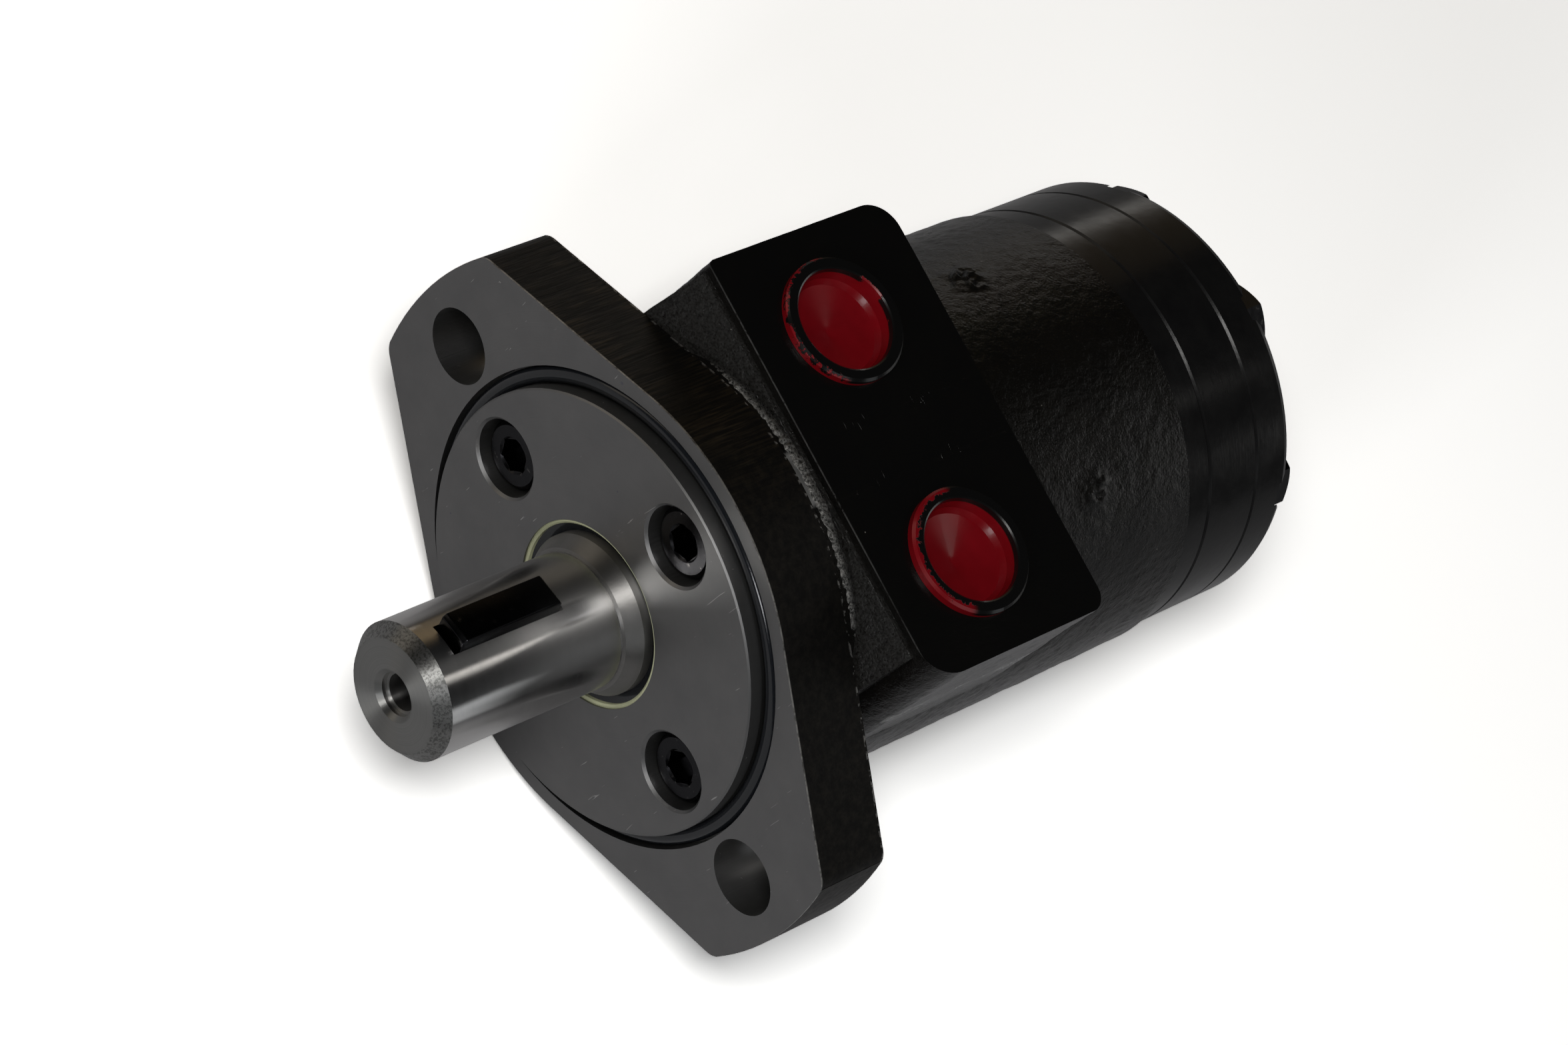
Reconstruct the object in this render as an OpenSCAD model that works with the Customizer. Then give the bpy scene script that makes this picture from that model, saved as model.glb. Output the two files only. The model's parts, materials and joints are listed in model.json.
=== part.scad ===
// Orbital hydraulic motor with a two-bolt flange, a keyed shaft and two side ports.
// Frame: the shaft points along -Y, the origin is on the shaft axis in the plane of the
// flange mounting face, and +Z leaves the port face. Every size is in millimetres.

/* [Mounting flange] */
// Distance between the two mounting bolt holes
bolt_spacing = 106.4; // [90:0.1:130]
// Diameter of each mounting bolt hole
bolt_hole_d = 14.3; // [9:0.1:18]
// Width of the flange across its round middle
flange_width = 95; // [80:0.5:120]
// Length of the flange over its two tips
flange_length = 130; // [115:0.5:160]
// Thickness of the flange plate
flange_thick = 15; // [8:0.5:25]
// Radius of the tip corners
flange_corner_r = 4; // [1:0.5:8]
// Diameter of the locating pilot
pilot_d = 82.55; // [60:0.05:110]
// Height of the pilot above the mounting face
pilot_height = 2.8; // [2:0.1:10]
// Outer diameter of the sealing groove around the pilot
groove_d = 89.3; // [84:0.1:94]
// Depth of the sealing groove
groove_depth = 3.2; // [1:0.1:5]

/* [Flange screws] */
// Pitch circle diameter of the four socket head screws
screw_pcd = 62.5; // [50:0.5:70]
// Thread diameter of the socket head screws
screw_d = 8; // [5:1:10]
// Head diameter of the socket head screws
screw_head_d = 13; // [8:0.5:16]
// Diameter of the counterbores
counterbore_d = 14.6; // [12:0.1:18]
// Depth of the screw heads below the pilot face
screw_sink = 2; // [0:0.1:4]
// Length of the socket head screws under the head
screw_length = 25; // [12:1:40]

/* [Shaft] */
// Shaft diameter
shaft_d = 25.4; // [20:0.1:35]
// Distance from the mounting face to the shaft end
shaft_length = 46.8; // [30:0.1:80]
// Axial length of the end chamfer
shaft_chamfer = 2.5; // [0.5:0.1:4]
// Diameter of the seal journal behind the shoulder
journal_d = 30; // [26:0.1:34]
// Distance from the mounting face to the start of the shoulder
shoulder_start = 6; // [4:0.1:12]
// Angle of the key about the shaft axis at rest
key_angle = 106.5; // [0:0.5:360]
// Width of the half-moon key
key_width = 6.35; // [4:0.05:10]
// Radius of the half-moon key
key_r = 12.75; // [8:0.05:16]
// Length of the key over its clipped ends
key_length = 22; // [14:0.5:26]
// Distance from the shaft axis to the top of the key
key_top = 15.3; // [12:0.05:20]
// Distance from the mounting face to the middle of the key
key_centre = 28.3; // [15:0.1:40]
// Core diameter of the tapped hole in the shaft end
end_hole_d = 6.8; // [4:0.1:12]

/* [Housing] */
// Diameter of the cast housing
housing_d = 85.4; // [75:0.1:110]
// Distance from the mounting face to the rear of the housing
housing_end = 107.3; // [90:0.1:160]
// Diameter of the rim behind the flange
rim_d = 92.6; // [86:0.1:100]
// Distance from the shaft axis to the port face
pad_height = 46; // [40:0.1:60]
// Length of the port face across the motor
pad_length = 82.6; // [70:0.1:110]
// Near edge of the port face along the motor
pad_start = 21.2; // [17:0.1:40]
// Far edge of the port face along the motor
pad_end = 64.2; // [50:0.1:90]
// Distance between the two port centres
port_spacing = 45.8; // [30:0.1:60]
// Position of the port centres along the motor
port_y = 41.2; // [30:0.1:60]
// Core diameter of the port thread
port_thread_d = 20.4; // [14:0.1:28]
// Diameter of the plain mouth above the port thread
port_mouth_d = 22.4; // [18:0.1:32]
// Depth of the plain mouth above the port thread
port_mouth_depth = 7; // [2:0.1:12]
// Length of the port thread
port_thread_length = 14; // [8:0.5:20]

/* [Rotor set] */
// Diameter of the spacer plate, the ring and the end cap
ring_d = 83.8; // [70:0.1:110]
// Thickness of the spacer plate
spacer_thick = 6.7; // [4:0.1:12]
// Width of the ring and the rotor
rotor_width = 13; // [6:0.1:60]
// Thickness of the end cap
cap_thick = 9.5; // [6:0.1:20]
// Pitch radius of the seven rollers
roller_pitch_r = 28.3; // [24:0.1:34]
// Radius of each roller
roller_r = 4.8; // [3:0.1:8]
// Offset of the rotor centre from the motor axis
eccentricity = 2.7; // [1.5:0.05:4]
// Pitch radius of the seven cap bolts
cap_bolt_pitch_r = 34; // [33.5:0.1:36]
// Angle of the first cap bolt
cap_bolt_angle = 88; // [0:0.5:360]
// Thread diameter of the cap bolts
cap_bolt_d = 8; // [5:1:10]
// Width across the flats of the cap bolt heads
cap_bolt_flats = 13; // [8:0.5:17]
// Height of the cap bolt heads
cap_bolt_head = 5; // [3:0.1:8]

/* [Hidden] */
half_spacing = bolt_spacing / 2;
belly_r = flange_width / 2;
tip_r = flange_length / 2;
pilot_r = pilot_d / 2;
groove_r = groove_d / 2;
groove_floor_r = pilot_r - 0.5;
screw_pitch_r = screw_pcd / 2;
screw_top = screw_sink - pilot_height;
screw_seat = screw_top + screw_d;
shaft_r = shaft_d / 2;
journal_r = journal_d / 2;
dust_r = 17.5;
seal_r = 21;
bearing_r = 25;
spool_r = 19;
pad_middle = (pad_start + pad_end) / 2;
spool_start = flange_thick + 4;
spool_end = housing_end - 0.8;
drive_pivot = 68;
drive_far = 119;
spline_start = 61.5;
spline_end = 74.5;
spline_tip_r = 10.75;
spline_root_r = 12.2;
spline_slot = 3.4;
ring_start = housing_end + spacer_thick;
ring_end = ring_start + rotor_width;
cap_end = ring_end + cap_thick;
cap_seat = cap_end - 2.3;
ring_r = ring_d / 2;
bolt_step = 360 / 7;
rest_angle = cap_bolt_angle + bolt_step / 2;
tilt = atan(eccentricity / (drive_far - drive_pivot));
passage_r = 25.5;
chamber_r = roller_pitch_r - roller_r + 2 * eccentricity + 0.15;
seal_groove_r = 39.85;
slip = 0.04;

// Solid of revolution about the motor axis: points are [radius, distance along Y]
module turned(points) {
    rotate([-90, 0, 0])
        rotate_extrude($fn = 128)
            polygon(points);
}

// Round bar along the motor axis from y0 to y1
module bar(r, y0, y1) {
    translate([0, y0, 0])
        rotate([-90, 0, 0])
            cylinder(r = r, h = y1 - y0, $fn = 96);
}

// Places children at an angle about the motor axis and at a radius from it
module polar(a, r) {
    rotate([0, -a, 0])
        translate([r, 0, 0])
            children();
}

// Rubber ring of round section lying square to the motor axis
module o_ring(r, y, section_r) {
    translate([0, y, 0])
        rotate([-90, 0, 0])
            rotate_extrude($fn = 128)
                translate([r, 0])
                    circle(r = section_r, $fn = 32);
}

// Straight drilling between two points
module drilling(p, q, r) {
    d = q - p;
    run = norm(d);
    translate(p)
        rotate([0, acos(d[2] / run), atan2(d[1], d[0])])
            cylinder(r = r, h = run, $fn = 48);
}

// Wings of the flange: two straight sides, a tip arc and rounded tip corners on each end
module flange_wings(thick) {
    side_r = belly_r - 0.04;
    corner_run = tip_r - flange_corner_r;
    corner_a = 60 - acos((side_r - flange_corner_r) / corner_run);
    cx = corner_run * cos(corner_a);
    cz = corner_run * sin(corner_a);
    last_a = corner_a + 10;
    lx = cx + flange_corner_r * cos(last_a);
    lz = cz + flange_corner_r * sin(last_a);
    ox = lx + 8 * cos(corner_a);
    oz = lz + 8 * sin(corner_a);
    corner = [for (i = [0:8])
        let (a = 60 + (last_a - 60) * i / 8)
        [cx + flange_corner_r * cos(a), cz + flange_corner_r * sin(a)]];
    quarter = concat([[0, 30], [side_r * cos(60), side_r * sin(60)]], corner, [[ox, oz]]);
    half_side = concat(quarter, [for (i = [len(quarter) - 1:-1:0]) [quarter[i][0], -quarter[i][1]]]);
    rotate([-90, 0, 0])
        intersection() {
            cylinder(r = tip_r, h = thick, $fn = 160);
            linear_extrude(height = thick)
                union() {
                    polygon(half_side);
                    mirror([1, 0])
                        polygon(half_side);
                }
        }
}

// Front cover of the motor with the mounting holes, the pilot and the seal pockets
module mounting_flange() {
    color([0.24, 0.24, 0.25])
    difference() {
        union() {
            bar(belly_r, 0, flange_thick);
            flange_wings(flange_thick);
            turned([
                [0, 1], [0, -pilot_height], [pilot_r - 0.3, -pilot_height],
                [pilot_r, 0.3 - pilot_height], [pilot_r, 1]
            ]);
        }
        for (side = [-1, 1])
            translate([side * half_spacing, 0, 0])
                bar(bolt_hole_d / 2, -1, flange_thick + 1);
        turned([
            [groove_floor_r, 0], [groove_floor_r, groove_depth],
            [groove_r, groove_depth], [groove_r, -1], [pilot_r, -1], [pilot_r, 0]
        ]);
        for (k = [0:3])
            polar(90 * k, screw_pitch_r) {
                bar(counterbore_d / 2, -pilot_height - 1, screw_seat);
                turned([
                    [0, -pilot_height - 1], [counterbore_d / 2 + 1.5, -pilot_height - 1],
                    [counterbore_d / 2, 0.5 - pilot_height], [0, 0.5 - pilot_height]
                ]);
                bar(screw_d / 2 + 0.4, 0, flange_thick + 1);
            }
        bar(dust_r, -pilot_height - 1, 4);
        bar(journal_r + 0.6, 0, flange_thick + 1);
        bar(seal_r, 6.2, flange_thick + 1);
        turned([[36.4, 13.4], [36.4, 16], [38.6, 16], [38.6, 13.4]]);
    }
}

// Sealing ring between the pilot and the flange face
module pilot_o_ring() {
    color([0.03, 0.03, 0.03])
        o_ring((groove_floor_r + groove_r) / 2, 1.62, 1.55);
}

// Four socket head cap screws that hold the flange to the housing
module flange_screws() {
    color([0.1, 0.1, 0.1])
    for (k = [0:3])
        polar(90 * k, screw_pitch_r)
            difference() {
                union() {
                    turned([
                        [0, screw_top], [screw_head_d / 2 - 0.8, screw_top],
                        [screw_head_d / 2, screw_top + 0.8],
                        [screw_head_d / 2, screw_seat], [0, screw_seat]
                    ]);
                    turned([
                        [0, screw_seat - 1], [screw_d / 2, screw_seat - 1],
                        [screw_d / 2, screw_seat + screw_length - 1],
                        [screw_d / 2 - 1, screw_seat + screw_length],
                        [0, screw_seat + screw_length]
                    ]);
                }
                translate([0, screw_top - 1, 0])
                    rotate([-90, 0, 0])
                        cylinder(r = 3.0 / cos(30), h = 5, $fn = 6);
                turned([
                    [0, screw_top - 1], [4.6, screw_top - 1],
                    [3.2, screw_top + 0.35], [0, screw_top + 0.35]
                ]);
            }
}

// Pale outer band of the wiper seal, flush with the bore edge
module dust_seal_band() {
    color([0.66, 0.68, 0.5])
        turned([
            [16.75, -2.3], [17.1, -2.6], [dust_r, -2.4], [dust_r, 3.9], [16.75, 3.9]
        ]);
}

// Rubber wiper that keeps dirt off the shaft journal
module dust_seal() {
    color([0.03, 0.03, 0.03])
        turned([
            [16.75, -1.6], [16.75, 3.8], [journal_r + 0.06, 3.8], [journal_r + 0.06, 2.9],
            [15.9, 2.3], [15.9, 0.6], [journal_r + 0.06, -0.6], [journal_r + 0.06, -1.0],
            [15.9, -1.3]
        ]);
}

// Pressure seal on the shaft journal
module shaft_seal() {
    color([0.04, 0.04, 0.04])
        turned([
            [journal_r + 0.06, 6.9], [15.8, 6.3], [seal_r, 6.3], [seal_r, 12], [19.6, 12],
            [19.6, 8.6], [16.9, 8.6], [16.9, 11.6], [journal_r + 0.06, 10.8]
        ]);
}

// Steel washer that backs the pressure seal
module seal_backup_washer() {
    color([0.5, 0.5, 0.52])
        turned([
            [journal_r + 0.35, 12.1], [seal_r, 12.1],
            [seal_r, flange_thick], [journal_r + 0.35, flange_thick]
        ]);
}

// Sealing ring between the flange and the housing
module flange_seal_ring() {
    color([0.03, 0.03, 0.03])
        o_ring(37.5, 14.2, 0.8);
}

// Threaded port well with its plain mouth
module port_well(x) {
    top = pad_height;
    translate([x, port_y, top - port_mouth_depth])
        cylinder(r = port_mouth_d / 2, h = port_mouth_depth + 1, $fn = 96);
    translate([x, port_y, top - port_mouth_depth - port_thread_length])
        cylinder(r = port_thread_d / 2, h = port_thread_length + 1, $fn = 96);
    translate([x, port_y, top - port_mouth_depth - port_thread_length - 2])
        cylinder(r1 = 6, r2 = port_thread_d / 2, h = 2.001, $fn = 96);
}

// Upright quarter round that fills a corner of the port block, towards sx and sy from its middle
module block_corner(x, y, sx, sy, r) {
    translate([x - sx * r, y - sy * r, 0])
        cylinder(r = r, h = pad_height, $fn = 64);
    translate([sx > 0 ? 0 : x, sy > 0 ? pad_middle : y + r, 0])
        cube([pad_length / 2, (pad_end - pad_start) / 2 - r, pad_height]);
    translate([sx > 0 ? 0 : x + r, sy > 0 ? pad_middle : y, 0])
        cube([pad_length / 2 - r, (pad_end - pad_start) / 2, pad_height]);
}

// Port block with its own radius on each upright corner
module port_block() {
    half = pad_length / 2;
    intersection() {
        translate([-half, pad_start, 6])
            cube([pad_length, pad_end - pad_start, pad_height - 6]);
        union() {
            block_corner(-half, pad_start, -1, -1, 1.5);
            block_corner(half, pad_start, 1, -1, 7);
            block_corner(half, pad_end, 1, 1, 3.5);
            block_corner(-half, pad_end, -1, 1, 6);
        }
    }
}

// Sloping shoulder that joins the port block to the rim
module port_shoulder() {
    translate([-40, 0, 0])
        rotate([90, 0, 90])
            linear_extrude(height = 75.5)
                polygon([
                    [flange_thick, 6], [flange_thick, 31], [pad_start - 0.8, pad_height - 1.6],
                    [pad_start + 2, pad_height - 1.0], [pad_start + 8, pad_height - 1.0],
                    [pad_start + 8, 6]
                ]);
}

// Cast housing with the port face, the spool bore and the drilled oil passages
module housing() {
    color([0.05, 0.05, 0.05])
    difference() {
        union() {
            bar(housing_d / 2, flange_thick, housing_end);
            turned([
                [0, flange_thick], [rim_d / 2, flange_thick], [rim_d / 2, flange_thick + 3],
                [rim_d / 2 - 0.9, flange_thick + 3.9], [housing_d / 2, flange_thick + 6.5],
                [0, flange_thick + 6.5]
            ]);
            port_block();
            port_shoulder();
        }
        bar(bearing_r, flange_thick - 1, flange_thick + 5);
        bar(spool_r + 0.02, flange_thick, housing_end + 1);
        for (k = [0:3])
            polar(90 * k, screw_pitch_r)
                bar(screw_d / 2 + 0.02, flange_thick - 1, 34);
        for (k = [0:6]) {
            polar(cap_bolt_angle + k * bolt_step, cap_bolt_pitch_r)
                bar(cap_bolt_d / 2 + 0.02, 87, housing_end + 1);
            polar(cap_bolt_angle + k * bolt_step, passage_r)
                bar(2.2, 44.6, housing_end + 1);
            polar(cap_bolt_angle + k * bolt_step, 0)
                translate([spool_r - 1, 47, 0])
                    rotate([0, 90, 0])
                        cylinder(r = 2.2, h = passage_r - spool_r + 1, $fn = 48);
        }
        port_well(-port_spacing / 2);
        port_well(port_spacing / 2);
        drilling([-22.9, 41.2, 27], [-10, 33, 11], 3.6);
        drilling([22.9, 41.2, 27], [10, 60.5, 11], 3.6);
    }
}

// Hardened washer under the thrust bearing on the flange side
module bearing_race_front() {
    color([0.6, 0.6, 0.62])
        turned([
            [journal_r + 0.4, flange_thick], [24, flange_thick],
            [24, flange_thick + 1], [journal_r + 0.4, flange_thick + 1]
        ]);
}

// Flat cage that spaces the thrust needles
module bearing_cage() {
    color([0.5, 0.45, 0.3])
    difference() {
        turned([
            [16.0, flange_thick + 1.35], [23.7, flange_thick + 1.35],
            [23.7, flange_thick + 2.65], [16.0, flange_thick + 2.65]
        ]);
        for (k = [0:19])
            polar(18 * k, 0)
                translate([17.1, flange_thick + 0.5, -1.05])
                    cube([5.6, 3, 2.1]);
    }
}

// Twenty needles of the thrust bearing
module bearing_needles() {
    color([0.7, 0.7, 0.72])
    for (k = [0:19])
        polar(18 * k, 0)
            translate([17.3, flange_thick + 2, 0])
                rotate([0, 90, 0])
                    cylinder(r = 0.95, h = 5.2, $fn = 24);
}

// Hardened washer between the thrust needles and the spool shoulder
module bearing_race_rear() {
    color([0.6, 0.6, 0.62])
        turned([
            [journal_r + 0.1, flange_thick + 3], [24, flange_thick + 3],
            [24, spool_start], [journal_r + 0.1, spool_start]
        ]);
}

// Twelve flat-bottomed slots between the splines, from y0 to y1
module spline_slots(y0, y1) {
    for (k = [0:11])
        polar(30 * k, 0)
            translate([spline_tip_r - 2, y0, -spline_slot / 2])
                cube([spline_root_r - spline_tip_r + 2, y1 - y0, spline_slot]);
}

// Output shaft and valve spool in one piece
module output_shaft() {
    key_seat_r = key_r + 0.05;
    color([0.62, 0.62, 0.63])
    difference() {
        turned([
            [0, -shaft_length], [shaft_r - 2.2, -shaft_length],
            [shaft_r, shaft_chamfer - shaft_length], [shaft_r, -shoulder_start],
            [13.3, 0.3 - shoulder_start], [14.6, -3.6], [journal_r, -2.9],
            [journal_r, spool_start], [spool_r - 0.4, spool_start],
            [spool_r, spool_start + 0.4], [spool_r, 30], [16.5, 30], [16.5, 36],
            [spool_r, 36], [spool_r, 58], [16.5, 58], [16.5, 64], [spool_r, 64],
            [spool_r, spool_end], [0, spool_end]
        ]);
        polar(key_angle, 16.2)
            translate([0, -key_centre, 0])
                cylinder(r = key_seat_r, h = key_width + 0.04, center = true, $fn = 128);
        turned([
            [0, -shaft_length - 1], [5.9, -shaft_length - 1], [4, 0.9 - shaft_length],
            [4, 2 - shaft_length], [end_hole_d / 2, 2 - shaft_length],
            [end_hole_d / 2, 22 - shaft_length], [0, 24 - shaft_length]
        ]);
        for (k = [0:5]) {
            polar(60 * k + rest_angle, 0)
                translate([16.2, 35, -1.5])
                    cube([4, 18, 3]);
            polar(60 * k + 30 + rest_angle, 0)
                translate([16.2, 41, -1.5])
                    cube([4, 18, 3]);
        }
        bar(spline_tip_r, spline_start, spline_end + 1);
        polar(rest_angle, 0)
            spline_slots(spline_start, spline_end + 1);
        bar(spline_root_r + 0.1, spline_end, spool_end + 1);
    }
}

// Half-moon key with clipped ends
module shaft_key() {
    color([0.05, 0.05, 0.05])
    polar(key_angle, 0)
        translate([0, -key_centre, 0])
            intersection() {
                translate([16.2, 0, 0])
                    cylinder(r = key_r, h = key_width, center = true, $fn = 128);
                rotate([0, 0, 90])
                    translate([0, 0, -key_width])
                        linear_extrude(height = 2 * key_width)
                            polygon([
                                [-key_length / 2, 0], [key_length / 2, 0],
                                [key_length / 2, 0.7 - key_top],
                                [key_length / 2 - 0.7, -key_top],
                                [0.7 - key_length / 2, -key_top],
                                [-key_length / 2, 0.7 - key_top]
                            ]);
            }
}

// One splined head of the drive link between y0 and y1 from the pivot
module drive_head(y0, y1) {
    turned([
        [0, y0], [9.2, y0], [10.2, y0 + 1], [10.2, y1 - 1], [9.2, y1], [0, y1]
    ]);
    for (k = [0:11])
        polar(30 * k, 0)
            translate([8, y0 + 1, -1.25])
                cube([3.6, y1 - y0 - 2, 2.5]);
}

// Tilted drive link that joins the spool to the orbiting rotor
module drive_link() {
    far = (drive_far - drive_pivot) / cos(tilt);
    color([0.55, 0.55, 0.57])
    rotate([0, -rest_angle, 0])
        translate([0, drive_pivot, 0])
            rotate([0, 0, -tilt]) {
                drive_head(-5, 5);
                drive_head(far - 4.3, far + 4.3);
                turned([
                    [0, 4], [9.2, 4], [9.2, 5], [8, 7.5], [8, far - 7], [9.2, far - 4.3],
                    [9.2, far - 3.3], [0, far - 3.3]
                ]);
            }
}

// Round spacer behind the drive link
module drive_spacer() {
    color([0.6, 0.6, 0.62])
    polar(rest_angle, eccentricity)
        turned([
            [0, ring_end - 2.7], [9, ring_end - 2.7], [9.8, ring_end - 2.1],
            [9.8, ring_end - 0.2], [0, ring_end - 0.2]
        ]);
}

// Sealing ring between the housing and the spacer plate
module housing_seal_ring() {
    color([0.03, 0.03, 0.03])
        o_ring(seal_groove_r, housing_end + 0.56, 0.55);
}

// Groove for a thin sealing ring, open at one face
module seal_groove(y0, y1) {
    turned([
        [seal_groove_r - 0.65, y0], [seal_groove_r + 0.65, y0],
        [seal_groove_r + 0.65, y1], [seal_groove_r - 0.65, y1]
    ]);
}

// Plate between the housing and the rotor set
module spacer_plate() {
    color([0.05, 0.05, 0.05])
    difference() {
        turned([
            [12.8, housing_end], [ring_r - 0.5, housing_end], [ring_r, housing_end + 0.5],
            [ring_r, ring_start - 0.5], [ring_r - 0.5, ring_start], [12.8, ring_start]
        ]);
        for (k = [0:6]) {
            polar(cap_bolt_angle + k * bolt_step, cap_bolt_pitch_r)
                bar(cap_bolt_d / 2 + 0.2, housing_end - 1, ring_start + 1);
            polar(cap_bolt_angle + k * bolt_step, passage_r)
                bar(2.2, housing_end - 1, ring_start + 1);
        }
        seal_groove(housing_end - 1, housing_end + 1.12);
        seal_groove(ring_start - 1.12, ring_start + 1);
    }
}

// Sealing ring between the spacer plate and the stator ring
module ring_front_seal() {
    color([0.03, 0.03, 0.03])
        o_ring(seal_groove_r, ring_start - 0.56, 0.55);
}

// Stator ring with seven roller pockets
module stator_ring() {
    color([0.05, 0.05, 0.05])
    difference() {
        turned([
            [chamber_r, ring_start], [ring_r - 0.4, ring_start], [ring_r, ring_start + 0.4],
            [ring_r, ring_end - 0.4], [ring_r - 0.4, ring_end], [chamber_r, ring_end]
        ]);
        for (k = [0:6]) {
            polar(cap_bolt_angle + k * bolt_step, cap_bolt_pitch_r)
                bar(cap_bolt_d / 2 + 0.1, ring_start - 1, ring_end + 1);
            polar(rest_angle + k * bolt_step, roller_pitch_r)
                bar(roller_r + slip, ring_start - 1, ring_end + 1);
        }
    }
}

// Distance of the path point from its normal foot, used to offset the rotor outline
function path_speed(t) = norm([
    roller_pitch_r * cos(t) - 7 * eccentricity * cos(7 * t),
    roller_pitch_r * sin(t) - 7 * eccentricity * sin(7 * t)
]);

// One point of the six-lobed outline that stays in touch with the seven rollers
function outline_point(t) = let (
    s = (roller_r + 0.06) / path_speed(t),
    px = roller_pitch_r * cos(t) - eccentricity * cos(7 * t),
    py = roller_pitch_r * sin(t) - eccentricity * sin(7 * t),
    nx = roller_pitch_r * cos(t) - 7 * eccentricity * cos(7 * t),
    ny = roller_pitch_r * sin(t) - 7 * eccentricity * sin(7 * t)
) [px - s * nx, py - s * ny];

// Six-lobed rotor with the splined centre hole
module rotor() {
    steps = 216;
    color([0.6, 0.6, 0.62])
    difference() {
        polar(rest_angle, eccentricity)
            translate([0, ring_start + 0.04, 0])
                rotate([-90, 0, 0])
                    linear_extrude(height = rotor_width - 0.08)
                        polygon([for (i = [0:steps - 1]) outline_point(i * 360 / steps)]);
        polar(rest_angle, eccentricity) {
            bar(spline_tip_r, ring_start - 1, ring_end + 1);
            spline_slots(ring_start - 1, ring_end + 1);
        }
    }
}

// One roller of the stator ring
module roller(k) {
    color([0.7, 0.7, 0.72])
    polar(rest_angle + k * bolt_step, roller_pitch_r)
        turned([
            [0, ring_start + 0.04], [roller_r - 0.3, ring_start + 0.04],
            [roller_r, ring_start + 0.34], [roller_r, ring_end - 0.34],
            [roller_r - 0.3, ring_end - 0.04], [0, ring_end - 0.04]
        ]);
}

// Sealing ring between the stator ring and the end cap
module cap_seal_ring() {
    color([0.03, 0.03, 0.03])
        o_ring(seal_groove_r, ring_end + 0.56, 0.55);
}

// End cap with spot faces for the bolt heads
module end_cap() {
    color([0.05, 0.05, 0.05])
    difference() {
        turned([
            [0, ring_end], [ring_r - 0.4, ring_end], [ring_r, ring_end + 0.4],
            [ring_r, cap_end - 1.6], [ring_r - 0.45, cap_end - 0.5],
            [ring_r - 1.6, cap_end], [22, cap_end], [21, cap_end - 0.8], [0, cap_end - 0.8]
        ]);
        for (k = [0:6])
            polar(cap_bolt_angle + k * bolt_step, cap_bolt_pitch_r) {
                bar(cap_bolt_d / 2 + 0.2, ring_end - 1, cap_end + 1);
                bar(8.2, cap_seat, cap_end + 1);
            }
        seal_groove(ring_end - 1, ring_end + 1.12);
    }
}

// Seven hex head bolts that clamp the rotor set to the housing
module cap_bolts() {
    color([0.07, 0.07, 0.07])
    for (k = [0:6])
        polar(cap_bolt_angle + k * bolt_step, cap_bolt_pitch_r) {
            intersection() {
                translate([0, cap_seat, 0])
                    rotate([-90, k == 0 ? 0 : 30, 0])
                        cylinder(r = cap_bolt_flats / 2 / cos(30), h = cap_bolt_head, $fn = 6);
                turned([
                    [0, cap_seat], [8, cap_seat], [8, cap_seat + cap_bolt_head - 1],
                    [6.1, cap_seat + cap_bolt_head], [0, cap_seat + cap_bolt_head]
                ]);
            }
            turned([
                [0, cap_seat - 45], [cap_bolt_d / 2 - 1, cap_seat - 45],
                [cap_bolt_d / 2, cap_seat - 44], [cap_bolt_d / 2, cap_seat + 1],
                [0, cap_seat + 1]
            ]);
        }
}

// Push-in transit plug: a lipped cup with a conical floor
module port_plug(x) {
    top = pad_height;
    color([0.72, 0.04, 0.06])
    translate([x, port_y, 0])
        rotate_extrude($fn = 128)
            polygon([
                [0, top - 4.6], [8.5, top - 2.6], [9.2, top - 1.4], [9.6, top + 1.7],
                [9.9, top + 1.9], [11.5, top + 1.9], [11.95, top + 1.4],
                [11.95, top + 0.05], [10.9, top + 0.05], [10.9, top - 2],
                [10.4, top - 5.2], [9.8, top - 6], [0, top - 6]
            ]);
}

mounting_flange();
pilot_o_ring();
flange_screws();
dust_seal_band();
dust_seal();
shaft_seal();
seal_backup_washer();
flange_seal_ring();
housing();
bearing_race_front();
bearing_cage();
bearing_needles();
bearing_race_rear();
output_shaft();
shaft_key();
drive_link();
drive_spacer();
housing_seal_ring();
spacer_plate();
ring_front_seal();
stator_ring();
rotor();
roller(0);  // roller_1
roller(1);  // roller_2
roller(2);  // roller_3
roller(3);  // roller_4
roller(4);  // roller_5
roller(5);  // roller_6
roller(6);  // roller_7
cap_seal_ring();
end_cap();
cap_bolts();
port_plug(-port_spacing / 2);  // port_plug_a
port_plug(port_spacing / 2);  // port_plug_b
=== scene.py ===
"""Looks of the hydraulic motor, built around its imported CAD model. Lengths are in metres."""
import json
import math

import bmesh
import bpy
from mathutils import Matrix, Vector, noise


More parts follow.
